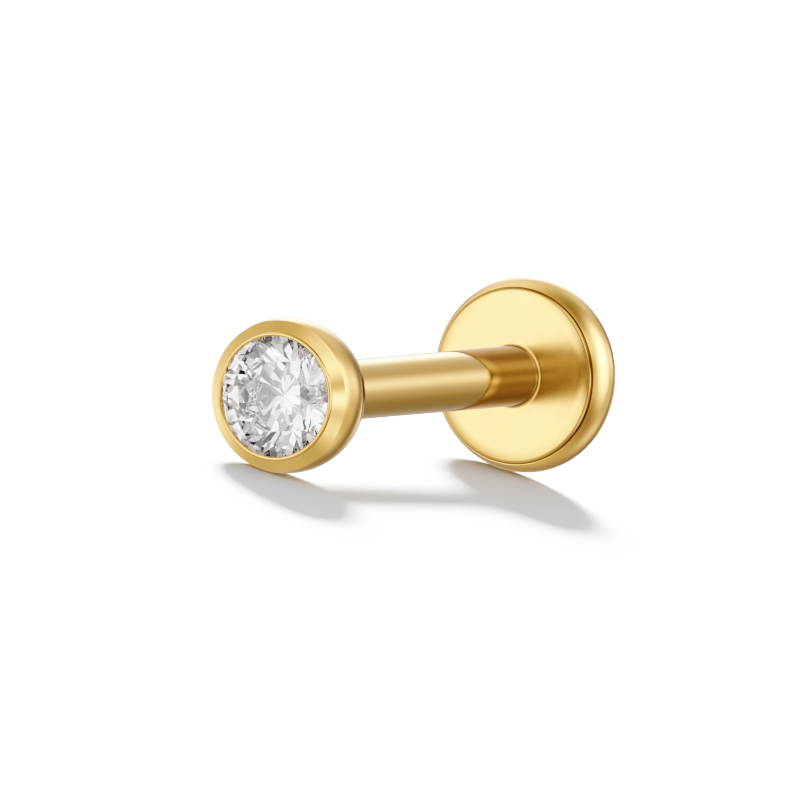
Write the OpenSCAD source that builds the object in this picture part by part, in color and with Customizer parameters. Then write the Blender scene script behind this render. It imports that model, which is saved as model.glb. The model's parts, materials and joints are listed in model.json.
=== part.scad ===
// Labret stud, unworn and lying on its side: a ball-shaped bezel head with a round brilliant stone,
// plugged by a pin into a hollow post that is one piece with its flat-back disc.
// Each piece is drawn upright about the stud's own axis, with +Z through the stone's table and the
// ball's centre at 0. lay_down() then rests the rim of the disc and the ball on the plane Z = 0.

/* [Post] */
// Outer diameter of the post, 16 gauge
post_d = 1.2; // [1:0.05:1.6]
// Wearable length, from the head's seat to the disc's face
wear_length = 8; // [6:0.5:12]
// Wall of the hollow post
post_wall = 0.2; // [0.15:0.01:0.26]

/* [Disc] */
// Outer diameter of the flat-back disc
disc_d = 3.9; // [3:0.1:5]
// Thickness of the disc
disc_thickness = 1.12; // [0.95:0.01:1.4]
// Radial width of the rounded rim, from the flat face to the widest circle
rim_width = 0.32; // [0.26:0.01:0.5]
// Radius of the soft edge between the flat face and the rim
face_edge_r = 0.2; // [0.1:0.01:0.24]
// Radius of the round that ends in the flat back
back_edge_r = 0.56; // [0.4:0.01:0.7]

/* [Head] */
// Metal beside the stone, from its edge to the ball's widest circle
bezel_wall = 0.3; // [0.26:0.01:0.5]
// Height of the front ring's outer edge over the ball's centre
ring_edge_z = 0.36; // [0.2:0.01:0.5]
// Slope of the front ring, in degrees
ring_slope = 31; // [15:1:40]
// Radius of the thin round lip that holds the stone
lip_r = 0.04; // [0.03:0.005:0.06]
// Height of the lip over the front ring, to the centre of its round
lip_stand = 0.03; // [0:0.01:0.08]
// Depth of the lip's inner wall, from its crest to the stone
lip_depth = 0.09; // [0.06:0.01:0.12]
// Width of the stone's edge that the lip covers
lip_cover = 0.05; // [0.03:0.01:0.08]

/* [Pin] */
// Length of the head's pin
pin_length = 4.5; // [3:0.1:5.5]
// Chamfer at the pin's tip and at the mouth of the bore
pin_chamfer = 0.08; // [0.04:0.01:0.12]

/* [Stone] */
// Diameter of the round brilliant
stone_d = 2.5; // [2:0.1:3.5]
// Thickness of the girdle
girdle = 0.07; // [0.06:0.01:0.12]
// Table, as a share of the diameter, corner to corner
table_share = 0.6; // [0.53:0.01:0.65]
// Crown height, as a share of the diameter
crown_share = 0.136; // [0.11:0.002:0.16]
// Pavilion depth, as a share of the diameter
pavilion_share = 0.43; // [0.41:0.002:0.45]
// Length of the star facets, as a share of the way from the table to the girdle
star_share = 0.5; // [0.4:0.01:0.6]
// Length of the lower half facets, as a share of the way from the girdle to the culet
lower_share = 0.77; // [0.7:0.01:0.85]

/* [Lying] */
// Turn of the stud about its own axis as it lies, in degrees
turn = 19; // [0:1:44]

/* [Clearances] */
// Radial gap between the pin and the bore
pin_gap = 0.02; // [0.01:0.005:0.05]
// Gap between the head's seat and the end of the post
seat_gap = 0.02; // [0.01:0.005:0.05]
// Gap between the pin's tip and the bottom of the bore
tip_gap = 0.3; // [0.1:0.1:0.6]
// Gap between the stone and the metal around it
stone_gap = 0.03; // [0.02:0.005:0.04]

/* [Hidden] */
$fn = 96;
gold = [0.93, 0.74, 0.36];
clear_white = [0.93, 0.93, 0.96];

// Post and pin
post_r = post_d / 2;
bore_r = post_r - post_wall;
pin_r = bore_r - pin_gap;
bore_depth = pin_length + tip_gap;

// Disc, as depths behind its flat face: the rim's arc runs on from the soft edge without a corner
// and is upright where the disc is widest
disc_r = disc_d / 2;
rim_depth = disc_thickness - back_edge_r;
flat_r = disc_r - rim_width;
rim_rise = rim_depth - face_edge_r;
rim_r = (pow(rim_width, 2) + pow(rim_rise, 2) - pow(face_edge_r, 2)) / (2 * (rim_width - face_edge_r));
rim_centre_r = disc_r - rim_r;
rim_edge_angle = atan2(rim_rise, flat_r - rim_centre_r);

// Facets of the stone: eight sectors, each with a star, a kite, a main and two halves above and below
sectors = 8;
sector = 360 / sectors;
half_sector = sector / 2;
stone_r = stone_d / 2;
table_r = table_share * stone_r;
table_flat_r = table_r * cos(half_sector);
crown_height = crown_share * stone_d;
kite_slope = crown_height / (stone_r - table_r);
star_tip_r = table_flat_r + star_share * (stone_r - table_flat_r);
star_tip_drop = kite_slope * (star_tip_r * cos(half_sector) - table_r);
pavilion_depth = pavilion_share * stone_d;
lower_tip_r = stone_r * (1 - lower_share);
lower_tip_depth = pavilion_depth * (1 - lower_tip_r * cos(half_sector) / stone_r);

// Head, from the ball's centre forwards: ring, lip and the stone under the lip
ball_r = stone_r + bezel_wall;
seat_z = -sqrt(pow(ball_r, 2) - pow(post_r, 2));
ring_edge_r = sqrt(pow(ball_r, 2) - pow(ring_edge_z, 2));
window_r = stone_r - lip_cover;
lip_centre_r = window_r + lip_r;
ring_inner_r = lip_centre_r + lip_r;
function ring_z(radius) = ring_edge_z + (ring_edge_r - radius) * tan(ring_slope);
lip_centre_z = ring_z(ring_inner_r) + lip_stand;
lip_under_z = lip_centre_z + lip_r - lip_depth;
girdle_top_z = lip_under_z - stone_gap - lip_cover * kite_slope;
girdle_bottom_z = girdle_top_z - girdle;
table_z = girdle_top_z + crown_height;
culet_z = girdle_bottom_z - pavilion_depth;

// Pocket for the stone
pocket_r = stone_r + stone_gap;
pocket_top_z = lip_under_z - (pocket_r - window_r) * kite_slope;
pilot_r = lower_tip_r + stone_gap;
pocket_slope = lower_tip_depth / (stone_r - lower_tip_r);
pilot_top_z = girdle_bottom_z - pocket_slope * (pocket_r - pilot_r);
pilot_bottom_z = culet_z - stone_gap;

// Post from its free end back to the disc
post_top_z = seat_z - seat_gap;
face_z = post_top_z - wear_length;
back_z = face_z - disc_thickness;

// Lying: the axis leans until the ball and the arc of the rim touch one plane
rim_centre_z = face_z - rim_depth;
lean = acos((ball_r - rim_r) / norm([rim_centre_r, rim_centre_z])) - atan2(-rim_centre_z, rim_centre_r);
table_top_r = max([for (i = [1 : sectors]) table_r * sin(turn + half_sector + i * sector)]);
front_y = -table_z * cos(lean) - table_top_r * sin(lean);
back_y = -rim_centre_z * cos(lean) + (disc_r - back_edge_r) * sin(lean) + back_edge_r;
middle_y = (front_y + back_y) / 2;

// Lays a piece down with the head towards -Y
module lay_down() {
    translate([0, -middle_y, ball_r])
        rotate([90 + lean, 0, 0])
            rotate([0, 0, turn])
                children();
}

// Half section of the disc: depth runs down from its flat face at 0
module disc_section() {
    back_centre_r = disc_r - back_edge_r;
    square_to_edge = [cos(rim_edge_angle), sin(rim_edge_angle)];
    translate([0, -disc_thickness])
        square([back_centre_r, disc_thickness]);
    translate([0, -rim_depth])
        square([flat_r, rim_depth]);
    translate([flat_r, -face_edge_r])
        circle(face_edge_r);
    translate([back_centre_r, -rim_depth])
        circle(back_edge_r);
    translate([rim_centre_r, -rim_depth])
        intersection() {
            circle(rim_r);
            polygon([[0, 0], [2 * rim_r, 0], 2 * rim_r * square_to_edge]);
        }
}

module flat_back_post() {
    color(gold)
        lay_down()
            difference() {
                rotate_extrude()
                    union() {
                        translate([0, face_z])
                            disc_section();
                        translate([0, face_z - rim_depth])
                            square([post_r, post_top_z - face_z + rim_depth]);
                    }
                translate([0, 0, post_top_z - bore_depth])
                    cylinder(r = bore_r, h = bore_depth + 1);
                translate([0, 0, post_top_z - pin_chamfer])
                    cylinder(r1 = bore_r, r2 = bore_r + 2 * pin_chamfer, h = 2 * pin_chamfer);
            }
}

// Half section of the ball with its ring and lip, before the pocket is cut. The ring's line runs on
// past both of its edges, out of the ball and in under the lip.
module ball_section() {
    beyond_r = ball_r + bezel_wall;
    intersection() {
        circle(ball_r);
        polygon([
            [0, seat_z],
            [beyond_r, seat_z],
            [beyond_r, ring_z(beyond_r)],
            [lip_centre_r, ring_z(lip_centre_r)],
            [0, ring_z(lip_centre_r)],
        ]);
    }
    square([ring_inner_r, lip_centre_z]);
    translate([lip_centre_r, lip_centre_z])
        circle(lip_r);
}

module pocket_section() {
    open_z = lip_centre_z + 2 * lip_r;
    polygon([
        [0, pilot_bottom_z],
        [pilot_r, pilot_bottom_z],
        [pilot_r, pilot_top_z],
        [pocket_r, girdle_bottom_z],
        [pocket_r, pocket_top_z],
        [window_r, lip_under_z],
        [window_r, open_z],
        [0, open_z],
    ]);
}

module pin_section() {
    tip_z = seat_z - pin_length;
    polygon([
        [0, tip_z],
        [pin_r - pin_chamfer, tip_z],
        [pin_r, tip_z + pin_chamfer],
        [pin_r, seat_z + pin_chamfer],
        [0, seat_z + pin_chamfer],
    ]);
}

module bezel_head() {
    color(gold)
        lay_down()
            rotate_extrude()
                difference() {
                    union() {
                        ball_section();
                        pin_section();
                    }
                    pocket_section();
                }
}

// Corners evenly round a circle, the first at this azimuth
function corners(count, first, radius, height) = [
    for (i = [0 : count - 1])
        let (azimuth = first + i * 360 / count)
            [radius * cos(azimuth), radius * sin(azimuth), height]
];

// A round brilliant. Faces list their corners clockwise as seen from outside.
module stone() {
    halves = 2 * sectors;
    table = 0;
    star_tip = table + sectors;
    top = star_tip + sectors;
    bottom = top + halves;
    lower_tip = bottom + halves;
    culet = lower_tip + sectors;
    points = concat(
        corners(sectors, half_sector, table_r, table_z),
        corners(sectors, 0, star_tip_r, table_z - star_tip_drop),
        corners(halves, 0, stone_r, girdle_top_z),
        corners(halves, 0, stone_r, girdle_bottom_z),
        corners(sectors, 0, lower_tip_r, girdle_bottom_z - lower_tip_depth),
        [[0, 0, culet_z]]
    );
    facets = [
        for (i = [0 : sectors - 1])
            let (next = (i + 1) % sectors)
                let (last = (i + sectors - 1) % sectors)
                    let (here = 2 * i)
                        let (after = 2 * i + 1)
                            let (before = (2 * i + halves - 1) % halves)
                                each [
                                    [table + i, star_tip + i, table + last],
                                    [table + i, star_tip + next, top + after, star_tip + i],
                                    [star_tip + i, top + after, top + here],
                                    [star_tip + i, top + here, top + before],
                                    [lower_tip + i, bottom + here, bottom + after],
                                    [lower_tip + i, bottom + before, bottom + here],
                                    [culet, lower_tip + i, bottom + after, lower_tip + next],
                                ]
    ];
    table_face = [for (i = [sectors - 1 : -1 : 0]) table + i];
    girdle_faces = [
        for (i = [0 : halves - 1])
            let (next = (i + 1) % halves)
                [top + i, top + next, bottom + next, bottom + i]
    ];
    color(clear_white)
        lay_down()
            polyhedron(points, concat([table_face], facets, girdle_faces));
}

flat_back_post();
bezel_head();
stone();
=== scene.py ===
# %% [markdown]
# # A flat-back labret stud
#
# The stud has three parts: a hollow post made in one with its flat disc, a round head whose pin plugs
# into the post, and a cut stone held in the head by a thin lip. It lies on a pale table, resting on
# the rim of the disc and on the ball of the head. We turn the two metal parts as a jeweller turns
# them on a lathe, grind the stone facet by facet, and then light and photograph the whole.

import json
import math

import bpy
from mathutils import Matrix, Vector


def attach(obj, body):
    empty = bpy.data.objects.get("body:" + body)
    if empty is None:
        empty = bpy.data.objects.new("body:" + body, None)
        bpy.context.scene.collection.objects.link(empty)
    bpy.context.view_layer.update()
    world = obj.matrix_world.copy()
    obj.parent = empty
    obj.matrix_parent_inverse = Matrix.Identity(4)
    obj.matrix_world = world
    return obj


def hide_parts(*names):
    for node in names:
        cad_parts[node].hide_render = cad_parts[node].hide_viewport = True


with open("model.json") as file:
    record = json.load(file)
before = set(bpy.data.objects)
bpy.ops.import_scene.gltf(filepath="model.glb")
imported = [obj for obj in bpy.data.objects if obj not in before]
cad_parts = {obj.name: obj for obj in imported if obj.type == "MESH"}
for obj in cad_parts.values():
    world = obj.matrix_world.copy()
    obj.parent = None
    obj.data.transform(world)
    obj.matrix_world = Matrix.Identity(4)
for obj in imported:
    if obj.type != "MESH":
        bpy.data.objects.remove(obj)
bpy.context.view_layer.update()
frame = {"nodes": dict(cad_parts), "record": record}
print("solids to dress:", sorted(frame["nodes"]))

# %% [markdown]
# ## Sizes
#
# A jeweller works in millimetres, and so do we. Each part is drawn upright about the stud's own axis,
# with the centre of the head's ball at 0 and the stone's table facing up. The same sizes made the
# solids in the frame, so each finished part lands on its solid.

# %% Sizes in millimetres
POST_R = 0.6
BORE_R = 0.4
BORE_DEPTH = 4.8
PIN_R = 0.38
PIN_LENGTH = 4.5
CHAMFER = 0.08
WEAR_LENGTH = 8.0
GAP = 0.02

DISC_R = 1.945
DISC_THICKNESS = 1.12
FLAT_R = 1.45
FACE_EDGE_R = 0.12
BACK_EDGE_R = 0.56

BALL_R = 1.55
RING_EDGE_Z = 0.36
RING_SLOPE = math.radians(31)
LIP_R = 0.04
LIP_STAND = 0.03
LIP_DEPTH = 0.09
LIP_COVER = 0.05

STONE_R = 1.25
STONE_GAP = 0.03
GIRDLE_THICKNESS = 0.07

SEAT_Z = -math.sqrt(BALL_R**2 - POST_R**2)
POST_TOP_Z = SEAT_Z - GAP
FACE_Z = POST_TOP_Z - WEAR_LENGTH
print(f"from the seat to the back of the disc: {SEAT_Z - FACE_Z + DISC_THICKNESS:.2f} mm")

# %% [markdown]
# ## From the bench to the table
#
# The frame's record keeps where the post lies and which way it points, as a mount that a holder
# would use. That gives the ball's centre and the stud's axis. The stud also lies a little turned
# about its own axis, which shows only in the facets of the stone.

# %% Lay a part down
TURN = math.radians(19)
shaft = next(mount for mount in frame["record"]["mounts"] if mount["name"] == "post_shaft")
to_head = Vector(shaft["axis"]).normalized()
shaft_middle = POST_TOP_Z - WEAR_LENGTH / 2
ball_centre = Vector(shaft["pos_m"]) - to_head * shaft_middle / 1000
lean = math.atan2(-to_head.z, -to_head.y)
lying = (
    Matrix.Translation(ball_centre)
    @ Matrix.Rotation(math.pi / 2 + lean, 4, "X")
    @ Matrix.Rotation(TURN, 4, "Z")
    @ Matrix.Scale(0.001, 4)
)
print(f"the axis leans {math.degrees(lean):.3f} degrees, the ball's centre is at {ball_centre[:]}")


def deselect_all():
    bpy.ops.object.select_all(action="DESELECT")


def lay_down(part):
    deselect_all()
    part.select_set(True)
    bpy.context.view_layer.objects.active = part
    part.matrix_world = lying @ part.matrix_world
    bpy.ops.object.transform_apply(location=True, rotation=True, scale=True)


# %% [markdown]
# ## Turning on the lathe
#
# A turned part is one outline, swept round an axis. We could stack cylinders and cones, but their
# joints would crease the reflections, and polished gold shows nothing else. So we draw the outline
# as a lathe operator would cut it. It starts as a plane that is merged to a single point, straight
# cuts are extruded from that point, round cuts are made by spinning it about the centre of the
# round, and a last spin turns the whole outline about the axis.

# %% Tools for turning
TURNS = 192


class Outline:
    """The half outline of a turned part, drawn point by point in the X-Z plane."""

    def __init__(self, name, r, z):
        deselect_all()
        bpy.ops.mesh.primitive_plane_add(size=0.1, enter_editmode=True)
        bpy.context.object.name = name
        bpy.ops.mesh.merge(type="CENTER")
        bpy.ops.transform.translate(value=(r, 0, z))
        self.r = r
        self.z = z

    def line(self, r, z):
        step = (r - self.r, 0, z - self.z)
        bpy.ops.mesh.extrude_region_move(TRANSFORM_OT_translate={"value": step})
        self.r = r
        self.z = z

    def round(self, centre_r, centre_z, degrees, steps=12):
        """Goes round this centre, clockwise for a positive angle, seen with the axis to the left."""
        angle = math.radians(degrees)
        bpy.ops.mesh.spin(steps=steps, angle=angle, center=(centre_r, 0, centre_z), axis=(0, -1, 0))
        out = self.r - centre_r
        up = self.z - centre_z
        self.r = centre_r + out * math.cos(angle) + up * math.sin(angle)
        self.z = centre_z + up * math.cos(angle) - out * math.sin(angle)

    def turn(self, sharp_degrees=28):
        """Sweeps the outline once round the axis and smooths all but its sharp edges."""
        bpy.ops.mesh.select_all(action="SELECT")
        bpy.ops.mesh.spin(steps=TURNS, angle=math.tau, center=(0, 0, 0), axis=(0, 0, 1))
        bpy.ops.mesh.select_all(action="SELECT")
        bpy.ops.mesh.remove_doubles(threshold=0.0005)
        bpy.ops.mesh.normals_make_consistent(inside=False)
        bpy.ops.object.mode_set(mode="OBJECT")
        bpy.ops.object.shade_smooth_by_angle(angle=math.radians(sharp_degrees))
        return bpy.context.object


# %% [markdown]
# ## The post and its disc
#
# On the real stud the post and the flat disc that rests inside the lip are turned from one bar, so
# they are one piece here too. The disc has a flat face towards the post, a soft edge, a full round
# rim and a flat back. A small fillet joins the post to the disc, as the lathe tool's tip leaves it,
# and a hair-thin groove parts the face from the rim. Light catches in both, so both are modelled.

# %% The post and its disc
# A short straight step beside a round keeps its shading from spreading over the flat.
STEP = 0.02
TOP_ROUND = 0.03
FILLET = 0.05
ROLL_OFF_R = 1.5
ROLL_OFF = 9
GROOVE_DEPTH = 0.025
GROOVE_TURN = 2.2
RIM_Z = FACE_Z - DISC_THICKNESS + BACK_EDGE_R

post = Outline("gold_flat_back_post", 0, POST_TOP_Z - BORE_DEPTH)
post.line(BORE_R, POST_TOP_Z - BORE_DEPTH)
post.line(BORE_R, POST_TOP_Z - CHAMFER)
post.line(BORE_R + CHAMFER, POST_TOP_Z)
post.line(POST_R - TOP_ROUND, POST_TOP_Z)
post.round(POST_R - TOP_ROUND, POST_TOP_Z - TOP_ROUND, 90, 4)
post.line(POST_R, POST_TOP_Z - 0.1)
post.line(POST_R, FACE_Z + FILLET + STEP)
post.line(POST_R, FACE_Z + FILLET)
post.round(POST_R + FILLET, FACE_Z + FILLET, -90, 8)
post.line(POST_R + FILLET + STEP, FACE_Z)
post.line(FLAT_R - STEP, FACE_Z)
post.line(FLAT_R, FACE_Z)
post.round(FLAT_R, FACE_Z - ROLL_OFF_R, ROLL_OFF, 10)
tilt = math.radians(ROLL_OFF)
edge_r = post.r - FACE_EDGE_R * math.sin(tilt)
edge_z = post.z - FACE_EDGE_R * math.cos(tilt)
rise = edge_z - RIM_Z
across = DISC_R - edge_r
rim_r = (across**2 + rise**2 - FACE_EDGE_R**2) / (2 * (across - FACE_EDGE_R))
join = math.degrees(math.atan2(rise, edge_r - DISC_R + rim_r))
post.round(edge_r, edge_z, 90 - ROLL_OFF - join, 16)
print(f"rim radius {rim_r:.3f} mm, the soft edge ends {FACE_Z - post.z:.3f} mm deep")

# The groove goes in from here, and comes out a little further on along the rim.
rim_start = math.radians(join - GROOVE_TURN)
groove_end_r = DISC_R - rim_r + rim_r * math.cos(rim_start)
groove_end_z = RIM_Z + rim_r * math.sin(rim_start)
groove_r = (post.r + groove_end_r) / 2 - GROOVE_DEPTH * math.cos(rim_start)
groove_z = (post.z + groove_end_z) / 2 - GROOVE_DEPTH * math.sin(rim_start)
post.line(groove_r, groove_z)
post.line(groove_end_r, groove_end_z)
post.round(DISC_R - rim_r, RIM_Z, join - GROOVE_TURN, 24)
post.round(DISC_R - BACK_EDGE_R, RIM_Z, 90, 24)
post.line(post.r - STEP, post.z)
post.line(0, post.z)
gold_post = post.turn()
lay_down(gold_post)
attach(gold_post, "post")
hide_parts("flat_back_post")
print("post and disc:", len(gold_post.data.polygons), "faces")

# %% [markdown]
# ## The head
#
# The head is a ball, cut away in front to a sloping ring. A hair-thin round lip stands on the inner
# edge of the ring: on the bench it is pressed over the stone to hold it. Under the lip lies the
# pocket that the stone sits in, and at the back the pin that goes into the post. All of it is round
# about one axis, so it is one outline again.

# %% The head
WINDOW_R = STONE_R - LIP_COVER
LIP_CENTRE_R = WINDOW_R + LIP_R
RING_INNER_R = LIP_CENTRE_R + LIP_R
RING_EDGE_R = math.sqrt(BALL_R**2 - RING_EDGE_Z**2)
RING_INNER_Z = RING_EDGE_Z + (RING_EDGE_R - RING_INNER_R) * math.tan(RING_SLOPE)
LIP_Z = RING_INNER_Z + LIP_STAND
LIP_UNDER_Z = LIP_Z + LIP_R - LIP_DEPTH

# The usual proportions of a brilliant. Table, crown and pavilion are shares of the stone's width.
# The lower halves reach this share of the way to the culet, the stars this share of the way to the
# girdle.
TABLE_SHARE = 0.6
CROWN_SHARE = 0.136
PAVILION_SHARE = 0.43
LOWER_SHARE = 0.77
STAR_SHARE = 0.5

TABLE_R = TABLE_SHARE * STONE_R
CROWN_HEIGHT = CROWN_SHARE * 2 * STONE_R
CROWN_SLOPE = CROWN_HEIGHT / (STONE_R - TABLE_R)
GIRDLE_TOP_Z = LIP_UNDER_Z - STONE_GAP - LIP_COVER * CROWN_SLOPE
GIRDLE_Z = GIRDLE_TOP_Z - GIRDLE_THICKNESS
TABLE_Z = GIRDLE_TOP_Z + CROWN_HEIGHT
PAVILION_DEPTH = PAVILION_SHARE * 2 * STONE_R
CULET_Z = GIRDLE_Z - PAVILION_DEPTH
LOWER_TIP_R = STONE_R * (1 - LOWER_SHARE)
EIGHTH = math.tau / 8
LOWER_TIP_Z = GIRDLE_Z - PAVILION_DEPTH * (1 - LOWER_TIP_R * math.cos(EIGHTH / 2) / STONE_R)

POCKET_R = STONE_R + STONE_GAP
PILOT_R = LOWER_TIP_R + STONE_GAP
POCKET_SLOPE = (GIRDLE_Z - LOWER_TIP_Z) / (STONE_R - LOWER_TIP_R)
print(f"lip's crest at {LIP_Z + LIP_R:.4f} mm, table at {TABLE_Z:.4f}, culet at {CULET_Z:.4f}")

head = Outline("gold_bezel_head", 0, SEAT_Z - PIN_LENGTH)
head.line(PIN_R - CHAMFER, SEAT_Z - PIN_LENGTH)
head.line(PIN_R, SEAT_Z - PIN_LENGTH + CHAMFER)
head.line(PIN_R, SEAT_Z)
head.line(POST_R, SEAT_Z)
seat_angle = math.degrees(math.atan2(-SEAT_Z, POST_R))
edge_angle = math.degrees(math.atan2(RING_EDGE_Z, RING_EDGE_R))
head.round(0, 0, -(seat_angle + edge_angle), 72)
head.line(RING_INNER_R, RING_INNER_Z)
head.line(RING_INNER_R, LIP_Z)
head.round(LIP_CENTRE_R, LIP_Z, -180, 14)
head.line(WINDOW_R, LIP_UNDER_Z)
head.line(POCKET_R, LIP_UNDER_Z - (POCKET_R - WINDOW_R) * CROWN_SLOPE)
head.line(POCKET_R, GIRDLE_Z)
head.line(PILOT_R, GIRDLE_Z - POCKET_SLOPE * (POCKET_R - PILOT_R))
head.line(PILOT_R, CULET_Z - STONE_GAP)
head.line(0, CULET_Z - STONE_GAP)
gold_head = head.turn()
lay_down(gold_head)
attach(gold_head, "head")
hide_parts("bezel_head")
print("head:", len(gold_head.data.polygons), "faces")

# %% [markdown]
# ## The stone
#
# A round brilliant has 57 facets, each ground flat on a wheel. Modelled as a smooth cone it would
# look like a glass button, because the sparkle comes from flat facets that mirror each other. So we
# cut it as a gem cutter does: a short rod with 16 sides is bisected by the plane of each facet, and
# what lies outside the plane is cleared away. The cut surface is filled, and stays flat shaded.

# %% Planes of the facets
TABLE_FLAT_R = TABLE_R * math.cos(EIGHTH / 2)
STAR_TIP_R = TABLE_FLAT_R + STAR_SHARE * (STONE_R - TABLE_FLAT_R)
STAR_TIP_Z = TABLE_Z - CROWN_SLOPE * (STAR_TIP_R * math.cos(EIGHTH / 2) - TABLE_R)


def corner(r, z, eighths):
    return Vector((r * math.cos(eighths * EIGHTH), r * math.sin(eighths * EIGHTH), z))


cuts = [[corner(0, TABLE_Z, 0), corner(1, TABLE_Z, 0), corner(1, TABLE_Z, 1)]]
for i in range(8):
    rim = corner(STONE_R, GIRDLE_Z, i + 0.5)
    cuts.append([rim, corner(LOWER_TIP_R, LOWER_TIP_Z, i), corner(LOWER_TIP_R, LOWER_TIP_Z, i + 1)])
for i in range(8):
    table = corner(TABLE_R, TABLE_Z, i + 0.5)
    cuts.append([table, corner(STAR_TIP_R, STAR_TIP_Z, i), corner(STAR_TIP_R, STAR_TIP_Z, i + 1)])
for i in range(8):
    star = corner(STAR_TIP_R, STAR_TIP_Z, i)
    cuts.append([corner(TABLE_R, TABLE_Z, i - 0.5), star, corner(TABLE_R, TABLE_Z, i + 0.5)])
for i in range(8):
    for side in (-0.5, 0.5):
        tip = corner(LOWER_TIP_R, LOWER_TIP_Z, i)
        cuts.append([tip, corner(STONE_R, GIRDLE_Z, i), corner(STONE_R, GIRDLE_Z, i + side)])
        star = corner(STAR_TIP_R, STAR_TIP_Z, i)
        cuts.append([star, corner(STONE_R, GIRDLE_TOP_Z, i), corner(STONE_R, GIRDLE_TOP_Z, i + side)])
print(len(cuts), "facets to grind")

# %% Grind the stone
deselect_all()
bpy.ops.mesh.primitive_cylinder_add(
    vertices=16,
    radius=STONE_R,
    depth=TABLE_Z - CULET_Z + 0.4,
    location=(0, 0, (TABLE_Z + CULET_Z) / 2),
    enter_editmode=True,
)
brilliant = bpy.context.object
brilliant.name = "brilliant"
middle = Vector((0, 0, GIRDLE_Z))
for first, second, third in cuts:
    normal = (second - first).cross(third - first).normalized()
    if normal.dot(first - middle) < 0:
        normal.negate()
    bpy.ops.mesh.select_all(action="SELECT")
    bpy.ops.mesh.bisect(
        plane_co=first, plane_no=normal, use_fill=True, clear_outer=True, threshold=0.0002
    )
bpy.ops.mesh.select_all(action="SELECT")
bpy.ops.mesh.remove_doubles(threshold=0.0005)
bpy.ops.mesh.dissolve_degenerate(threshold=0.0005)
bpy.ops.mesh.select_all(action="SELECT")
bpy.ops.mesh.normals_make_consistent(inside=False)
bpy.ops.object.mode_set(mode="OBJECT")
bpy.ops.object.shade_flat()
lay_down(brilliant)
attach(brilliant, "head")
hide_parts("stone")
print("stone:", len(brilliant.data.polygons), "faces,", len(brilliant.data.vertices), "corners")

# %% [markdown]
# ## Nodes by hand
#
# A material is a small chain of nodes. We add each node with a helper that sets its sockets, or joins
# them to earlier nodes. Patterns on a turned part belong to the lathe, not to the table, so a Mapping
# node takes every point back to the bench: there x and y are across the stud, z runs along its axis,
# and the unit is the millimetre.

# %% Helpers for nodes
def add_node(tree, kind, inputs, **settings):
    node = tree.nodes.new(kind)
    for name, value in settings.items():
        setattr(node, name, value)
    for socket, value in inputs.items():
        if isinstance(value, bpy.types.NodeSocket):
            tree.links.new(value, node.inputs[socket])
        else:
            node.inputs[socket].default_value = value
    return node


def bench_position(tree):
    """The point on the stud as it stood on the bench, in millimetres."""
    place, turned, size = lying.inverted().decompose()
    here = add_node(tree, "ShaderNodeTexCoord", {})
    bench = add_node(
        tree,
        "ShaderNodeMapping",
        {
            "Vector": here.outputs["Object"],
            "Location": place,
            "Rotation": turned.to_euler(),
            "Scale": size,
        },
    )
    return bench.outputs["Vector"]


def noise(tree, vector, scale, detail=2.0):
    pattern = add_node(
        tree, "ShaderNodeTexNoise", {"Vector": vector, "Scale": scale, "Detail": detail}
    )
    return pattern.outputs["Fac"]


def fit(tree, value, low, high, to_low, to_high):
    """Fits a value from one range to another, and holds it there."""
    ranged = add_node(
        tree,
        "ShaderNodeMapRange",
        {"Value": value, "From Min": low, "From Max": high, "To Min": to_low, "To Max": to_high},
    )
    return ranged.outputs["Result"]


def between(tree, value, low, high, soft):
    """1 between low and high, falling to 0 over the width `soft` at both ends."""
    above = fit(tree, value, low - soft, low, 0, 1)
    below = fit(tree, value, high, high + soft, 1, 0)
    return math_node(tree, "MULTIPLY", above, below)


def math_node(tree, operation, first, second):
    return add_node(tree, "ShaderNodeMath", {0: first, 1: second}, operation=operation).outputs[0]


def mix_colours(tree, factor, first, second):
    mixed = add_node(
        tree,
        "ShaderNodeMix",
        {"Factor": factor, "A": first, "B": second},
        data_type="RGBA",
    )
    return mixed.outputs["Result"]


# %% [markdown]
# ## Polished gold
#
# Gold is a coloured mirror: all its look is in what it reflects and in how sharply. A single even
# gloss would look like plastic, so three things vary. Buffing leaves cloudy patches that are a touch
# duller. The lathe leaves rings round the axis, too fine to see but enough to soften a highlight. And
# the face of the disc, which a buffing wheel can't reach behind the post, stays more satin than the
# rest. The colour shifts a little too: the plating is paler where edges are rubbed. Two marks are
# painted light: painted shade darkens the groove, and a painted near-white light lines the seat of
# the stone, so that the facets seen through the stone come out pale.
#
# One thing here isn't how gold behaves. Gold mirrored in gold would come out a deep orange, and the
# picture has a brown, so that second reflection is toned down.

# %% Gold
GOLD = (1.0, 0.640, 0.286, 1)
DEEP_GOLD = (0.990, 0.615, 0.258, 1)
RUBBED_GOLD = (1.0, 0.660, 0.320, 1)
MIRRORED_GOLD = (0.46, 0.395, 0.340, 1)
# Painted shade: the colour that darkens the groove.
PAINTED_GROOVE_SHADE = (0.48, 0.31, 0.14, 1)
# Painted light: the near-white lining of the seat, so the stone's facets come out pale.
PAINTED_SEAT_LIGHT = (0.90, 0.885, 0.895, 1)
POLISH = 0.04
DULL_POLISH = 0.07
SATIN = 0.19
DULL_SATIN = 0.23
HAIRLINE = 0.015

# The height of a ring is in metres, as the frame is.
RING_HEIGHT = 1.2e-7

# How finely the patterns repeat, per millimetre.
PLATING_DRIFT = 0.9
BUFFING_CLOUDS = 3.5
HAIRLINES = 1.7
LATHE_RINGS = 14


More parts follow.
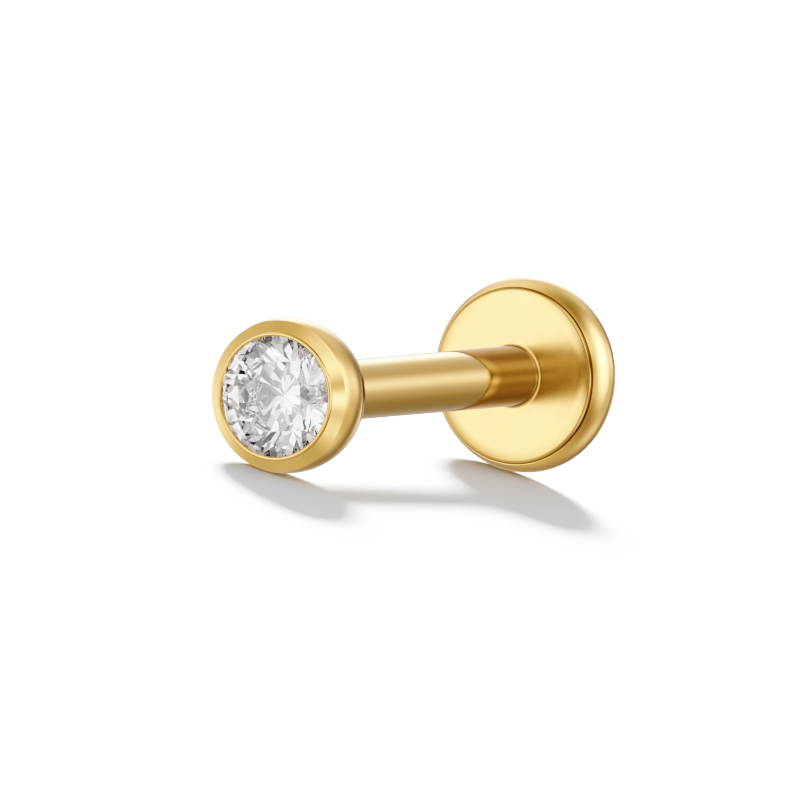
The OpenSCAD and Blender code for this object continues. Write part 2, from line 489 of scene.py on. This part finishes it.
def gold_material(name):
    material = bpy.data.materials.new(name)
    material.use_nodes = True
    tree = material.node_tree
    shader = tree.nodes["Principled BSDF"]
    shader.inputs["Metallic"].default_value = 1

    position = bench_position(tree)
    flat = add_node(
        tree, "ShaderNodeVectorMath", {0: position, 1: (1, 1, 0)}, operation="MULTIPLY"
    )
    radius = add_node(
        tree, "ShaderNodeVectorMath", {0: flat.outputs["Vector"]}, operation="LENGTH"
    ).outputs["Value"]
    height = add_node(tree, "ShaderNodeSeparateXYZ", {"Vector": position}).outputs["Z"]

    # Colour: slow drifts in the plating, and a rubbed, paler rim.
    drift = fit(tree, noise(tree, position, PLATING_DRIFT), 0.3, 0.7, 0, 1)
    rubbed = fit(tree, radius, DISC_R - 0.06, DISC_R, 0, 0.6)
    colour = mix_colours(tree, drift, GOLD, DEEP_GOLD)
    colour = mix_colours(tree, rubbed, colour, RUBBED_GOLD)

    # Where gold mirrors gold, the second reflection is toned down to a brown.
    mirrored = add_node(tree, "ShaderNodeLightPath", {}).outputs["Is Glossy Ray"]
    colour = mix_colours(tree, mirrored, colour, MIRRORED_GOLD)

    # Painted shade darkens the groove. Painted light, a near-white lining, brightens the seat of the
    # stone, so that the facets seen through the stone come out pale.
    in_groove = between(tree, radius, groove_r - 0.016, groove_r + 0.016, 0.006)
    behind_face = between(tree, height, FACE_Z - 0.2, FACE_Z - 0.005, 0.002)
    groove_shade = math_node(tree, "MULTIPLY", in_groove, behind_face)
    colour = mix_colours(tree, groove_shade, colour, PAINTED_GROOVE_SHADE)
    in_pocket = between(tree, radius, -1, POCKET_R + 0.005, 0.001)
    under_lip = between(tree, height, CULET_Z - 0.1, LIP_UNDER_Z - 0.01, 0.005)
    painted_seat_light = math_node(tree, "MULTIPLY", in_pocket, under_lip)
    colour = mix_colours(tree, painted_seat_light, colour, PAINTED_SEAT_LIGHT)
    tree.links.new(colour, shader.inputs["Base Color"])

    # Gloss: cloudy buffing everywhere, and satin on the face of the disc.
    cloud = noise(tree, position, BUFFING_CLOUDS, 3)
    on_face = between(tree, height, FACE_Z - 0.01, FACE_Z + 0.01, 0.04)
    polished = fit(tree, cloud, 0.3, 0.7, POLISH, DULL_POLISH)
    satin = fit(tree, cloud, 0.3, 0.7, SATIN, DULL_SATIN)
    gloss = add_node(tree, "ShaderNodeMix", {"Factor": on_face, "A": polished, "B": satin})
    hairlines = add_node(
        tree,
        "ShaderNodeTexVoronoi",
        {"Vector": position, "Scale": HAIRLINES},
        feature="DISTANCE_TO_EDGE",
    )
    scratch = fit(tree, hairlines.outputs["Distance"], 0, 0.012, HAIRLINE, 0)
    roughness = math_node(tree, "ADD", gloss.outputs["Result"], scratch)
    tree.links.new(roughness, shader.inputs["Roughness"])

    # Relief: lathe rings, which depend only on the distance from the axis and the height.
    rings = add_node(tree, "ShaderNodeCombineXYZ", {"X": radius, "Y": height})
    ring_height = noise(tree, rings.outputs["Vector"], LATHE_RINGS, 2)
    relief = add_node(
        tree, "ShaderNodeBump", {"Strength": 1.0, "Distance": RING_HEIGHT, "Height": ring_height}
    )
    tree.links.new(relief.outputs["Normal"], shader.inputs["Normal"])
    return material


gold_post.data.materials.append(gold_material("gold_of_the_post"))
gold_head.data.materials.append(gold_material("gold_of_the_head"))
print("gold nodes:", len(gold_post.data.materials[0].node_tree.nodes))

# %% [markdown]
# ## The clear stone
#
# Cubic zirconia bends light more than glass and less than diamond: its index of refraction is about
# 2.15. Light that enters from the front is turned back by the facets underneath, so the stone shows
# the room in pieces. The glass shader does that by itself once the facets are right. We add what a
# real stone of this size has: a faint warm tint that drifts, and the haze of the polishing wheel.

# %% Stone
CLEAR = (1.0, 0.99, 0.98, 1)
FAINT_TINT = (0.965, 0.935, 0.92, 1)
ZIRCONIA_IOR = 2.15
MOST_HAZE = 0.02

# The height of a wheel line is in metres, as the frame is.
WHEEL_LINE_HEIGHT = 4e-8

# How finely the patterns repeat, per millimetre.
TINT_DRIFT = 1.2
HAZE_CLOUDS = 6
WHEEL_LINES = 9


def stone_material(name):
    material = bpy.data.materials.new(name)
    material.use_nodes = True
    tree = material.node_tree
    shader = tree.nodes["Principled BSDF"]
    shader.inputs["Transmission Weight"].default_value = 1
    shader.inputs["IOR"].default_value = ZIRCONIA_IOR

    position = bench_position(tree)
    tint = fit(tree, noise(tree, position, TINT_DRIFT), 0.35, 0.65, 0, 1)
    tree.links.new(mix_colours(tree, tint, CLEAR, FAINT_TINT), shader.inputs["Base Color"])
    haze = fit(tree, noise(tree, position, HAZE_CLOUDS, 3), 0.35, 0.7, 0.0, MOST_HAZE)
    tree.links.new(haze, shader.inputs["Roughness"])
    wheel_lines = noise(tree, position, WHEEL_LINES, 2)
    relief = add_node(
        tree,
        "ShaderNodeBump",
        {"Strength": 1.0, "Distance": WHEEL_LINE_HEIGHT, "Height": wheel_lines},
    )
    tree.links.new(relief.outputs["Normal"], shader.inputs["Normal"])
    return material


brilliant.data.materials.append(stone_material("clear_zirconia"))

# %% [markdown]
# ## The table top
#
# The stud lies on a plain pale sheet. It only has to catch the shadow. Polished gold would also
# mirror it, as a hard white band from below, and the stone would gather it in burnt-out facets. So
# the sheet is hidden from both, and the studio below gives them a softer light.

# %% Table top
# The sheet is measured in metres, as the frame is.
SHEET_SIZE = 4
PAPER_GREY = 0.70

deselect_all()
bpy.ops.mesh.primitive_plane_add(size=SHEET_SIZE)
table_top = bpy.context.object
table_top.name = "table_top"
paper = bpy.data.materials.new("white_paper")
paper.use_nodes = True
paper_shader = paper.node_tree.nodes["Principled BSDF"]
paper_shader.inputs["Base Color"].default_value = (PAPER_GREY, PAPER_GREY, PAPER_GREY, 1)
paper_shader.inputs["Roughness"].default_value = 0.9
table_top.data.materials.append(paper)
table_top.visible_glossy = False
table_top.visible_transmission = False

# %% [markdown]
# ## The camera
#
# The edges of the post run parallel in the picture, so it shows no perspective, and an orthographic
# camera is right. It looks down a little. It is turned until the stud's axis points towards it at the
# measured angle, and rolled until the axis slopes across the frame as it does in the picture. The
# ball's centre is put where it is in the frame, by moving the camera sideways.

# %% Camera
LOOK_DOWN = math.radians(8)
AXIS_OFF_VIEW = math.radians(28.33)
AXIS_SLOPE = math.radians(4.97)
PIXELS_PER_MM = 50.45
BALL_PIXEL = (287.2, 395.4)
FRAME_PIXELS = 800

# The distance is in metres, as the frame is.
CAMERA_DISTANCE = 0.6

azimuth = math.acos(
    (math.cos(AXIS_OFF_VIEW) - to_head.z * math.sin(LOOK_DOWN)) / (-to_head.y * math.cos(LOOK_DOWN))
)
back = Vector((
    math.sin(azimuth) * math.cos(LOOK_DOWN),
    -math.cos(azimuth) * math.cos(LOOK_DOWN),
    math.sin(LOOK_DOWN),
))
level = (-back).to_track_quat("-Z", "Y").to_matrix().to_4x4()
to_disc = level.transposed() @ -to_head
roll = math.atan2(to_disc.y, to_disc.x) - AXIS_SLOPE
facing = level @ Matrix.Rotation(roll, 4, "Z")
shift_right = (FRAME_PIXELS / 2 - BALL_PIXEL[0]) / PIXELS_PER_MM / 1000
shift_up = (BALL_PIXEL[1] - FRAME_PIXELS / 2) / PIXELS_PER_MM / 1000
aim = ball_centre + facing.to_3x3() @ Vector((shift_right, shift_up, 0))

deselect_all()
bpy.ops.object.camera_add()
camera = bpy.context.object
camera.matrix_world = Matrix.Translation(aim + back * CAMERA_DISTANCE) @ facing
camera.data.type = "ORTHO"
camera.data.ortho_scale = FRAME_PIXELS / PIXELS_PER_MM / 1000
camera.data.clip_start = 0.01
camera.data.clip_end = 5
bpy.context.scene.camera = camera
print(f"azimuth {math.degrees(azimuth):.2f}, roll {math.degrees(roll):.2f} degrees")

# %% [markdown]
# ## The studio
#
# Round mirrors show the whole room, so the room is what we design. Card tents and soft lamps have no
# edges, and neither have ours: each is a glow in the world, brightest in one direction and falling
# off like a bell. `around` is how far to the right of the camera it stands, `up` how high, and
# `reach` how far from its middle it has fallen to half, all in degrees. Between the glows the room
# stays dim, and those gaps are the dark bands that run along the post and round the ball.

# %% Glows of the studio
room = bpy.data.worlds.new("studio")
bpy.context.scene.world = room
room.use_nodes = True
studio = room.node_tree
sky = add_node(studio, "ShaderNodeTexCoord", {}).outputs["Generated"]


def glow(before, name, around, up, reach, strength):
    """Adds one soft lamp to the light of those before it."""
    angle = azimuth + math.radians(around)
    sideways = math.cos(math.radians(up))
    way = (math.sin(angle) * sideways, -math.cos(angle) * sideways, math.sin(math.radians(up)))
    fall = math.log(2) / (1 - math.cos(math.radians(reach)))
    near = add_node(studio, "ShaderNodeVectorMath", {0: sky, 1: way}, operation="DOT_PRODUCT")
    slope = add_node(
        studio,
        "ShaderNodeMath",
        {0: near.outputs["Value"], 1: fall, 2: -fall},
        operation="MULTIPLY_ADD",
    )
    bell = add_node(studio, "ShaderNodeMath", {0: slope.outputs[0]}, operation="EXPONENT")
    total = add_node(
        studio,
        "ShaderNodeMath",
        {0: bell.outputs[0], 1: strength, 2: before},
        operation="MULTIPLY_ADD",
        label=name,
    )
    return total.outputs[0]


# Each lamp or card: its name, around, up, reach and strength.
GLOWS = (
    ("sheet below", 0, -80, 45, 0.26),
    ("window behind", -130, 38, 34, 0.45),
    ("lamp behind left", -177, 18, 11, 0.95),
    ("lamp behind right", 128, 16, 10, 0.4),
    ("lamp high behind", 155, 42, 16, 0.2),
    ("card low behind", 180, -22, 16, 0.12),
    ("card behind the disc", 153, -7, 9, 0.35),
    ("card low right", 110, -31, 15, 0.26),
    ("card right, behind", 119, -5, 9, 0.13),
    ("high lamp right", 92, 38, 18, 1.0),
    ("card right", 83, 13, 19, 0.8),
    ("strip left, top", -54, 23, 14, 0.4),
    ("strip left, middle", -58, -2, 14, 0.6),
    ("strip left, foot", -44, -17, 14, 0.54),
    ("card low left", -116, -24, 20, 0.45),
    ("lamp overhead", -15, 54, 16, 0.7),
    ("lamp high by the camera", 38, 42, 13, 0.4),
    ("card by the camera", 12, 4, 7, 1.1),
    ("lamp over the camera", -5, 27, 11, 0.6),
    ("card right of the camera", 42, 2, 13, 0.2),
    ("card under the camera", 18, -22, 14, 0.55),
)
ROOM_LIGHT = 0.05
BEYOND_TABLE = 1.1

light = ROOM_LIGHT
for name, around, up, reach, strength in GLOWS:
    light = glow(light, name, around, up, reach, strength)

# Through the stone the room is seen with a steeper range of light, so that the facets differ more
# from one another. The camera itself sees plain white where the table ends.
ray = add_node(studio, "ShaderNodeLightPath", {})
tented = fit(studio, light, 0.15, 0.9, 0.085, 0.95)
through = add_node(
    studio,
    "ShaderNodeMix",
    {"Factor": ray.outputs["Is Transmission Ray"], "A": light, "B": tented},
)
seen = add_node(
    studio,
    "ShaderNodeMix",
    {"Factor": ray.outputs["Is Camera Ray"], "A": through.outputs["Result"], "B": BEYOND_TABLE},
)
backdrop = studio.nodes["Background"]
studio.links.new(seen.outputs["Result"], backdrop.inputs["Strength"])
backdrop.inputs["Color"].default_value = (1, 1, 1, 1)
print("studio nodes:", len(studio.nodes))

# %% [markdown]
# ## Light on the table
#
# The glows alone would leave the sheet grey. One more lamp, low behind the stud and a little to the
# left, lights the sheet and throws a soft shadow towards us, and the glows fill that shadow in. The
# lamp is kept out of the gold and the stone, which have their own light.

# %% Shadow lamp
LAMP_HEIGHT = math.radians(28)
LAMP_LEFT = math.radians(11)
LAMP_WIDTH = math.radians(16)
LAMP_STRENGTH = 8.2

lamp_way = azimuth + LAMP_LEFT
from_behind = Vector((
    -math.sin(lamp_way) * math.cos(LAMP_HEIGHT),
    math.cos(lamp_way) * math.cos(LAMP_HEIGHT),
    math.sin(LAMP_HEIGHT),
))

deselect_all()
bpy.ops.object.light_add(type="SUN")
shadow_lamp = bpy.context.object
shadow_lamp.name = "shadow_lamp"
shadow_lamp.rotation_mode = "QUATERNION"
shadow_lamp.rotation_quaternion = from_behind.to_track_quat("Z", "Y")
shadow_lamp.data.energy = LAMP_STRENGTH
shadow_lamp.data.angle = LAMP_WIDTH
shadow_lamp.visible_glossy = False
shadow_lamp.visible_transmission = False

# %% [markdown]
# ## Developing the picture
#
# Product pictures are developed with bright highlights and clean darks. The list says how light each
# stop of light comes out, from full light down, each half as bright as the one before.

# %% Bounces and tone curve
# Light may turn many times inside the stone before it finds a way out.
BOUNCES = 20
cycles = bpy.context.scene.cycles
cycles.max_bounces = BOUNCES
cycles.glossy_bounces = BOUNCES
cycles.transmission_bounces = BOUNCES

SHADES = (255, 240, 196, 141, 79, 22, 0)

view = bpy.context.scene.view_settings
view.view_transform = "Standard"
view.use_curve_mapping = True
view.curve_mapping.use_clip = False
tone = view.curve_mapping.curves[3]
for stop, shade in enumerate(SHADES):
    screen = shade / 255
    linear = ((screen + 0.055) / 1.055) ** 2.4 if screen > 0.04 else screen / 12.92
    if stop == 0:
        tone.points[1].location = (1, 1)
    else:
        tone.points.new(0.5**stop, linear)
view.curve_mapping.update()
print("tone curve with", len(tone.points), "points")
